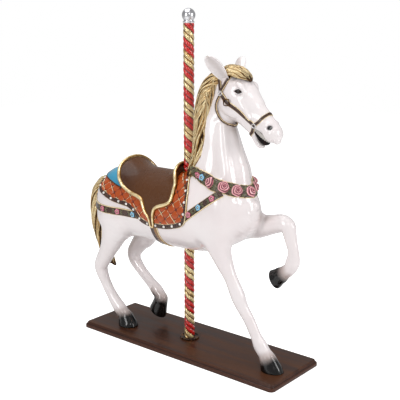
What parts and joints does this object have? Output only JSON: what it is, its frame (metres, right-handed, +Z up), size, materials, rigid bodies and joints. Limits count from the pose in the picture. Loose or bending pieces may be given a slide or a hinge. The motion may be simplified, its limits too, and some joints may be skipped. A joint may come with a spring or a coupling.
{
  "type": "carousel horse statue",
  "caption": "Life-like prancing carousel horse with saddle, cloth, harness and flower garland, carried on a twisted rope pole above a moulded wooden stand",
  "frame": {"origin": "centre of the stand's underside, on the floor", "axes": "+X is the way the horse faces, +Y its left side, +Z up; metres"},
  "size_m": [1.2674, 0.372, 1.5801],
  "materials": {
    "horse_enamel": "glossy painted resin",
    "pole_paint": "glossy red and antique gold paint",
    "finial_chrome": "polished",
    "flange_bronze": "satin bronze paint",
    "stand_wood": "satin dark walnut stain",
    "hoof_black": "glossy black paint",
    "gilding": "antique gold paint over umber",
    "saddle_brown": "satin dark brown paint",
    "cloth_orange": "glossy orange-red paint",
    "cloth_blue": "satin turquoise paint",
    "strap_brown": "satin dark brown paint",
    "pearl_white": "glossy white paint",
    "rose_pink": "satin pink paint",
    "flower_blue": "satin sky-blue paint",
    "leaf_green": "satin olive and gold paint"
  },
  "bodies": {
    "root": {"horse": "horse_enamel", "pole": "pole_paint", "finial": "finial_chrome", "flange": "flange_bronze", "stand": "stand_wood"}
  },
  "joints": []
}
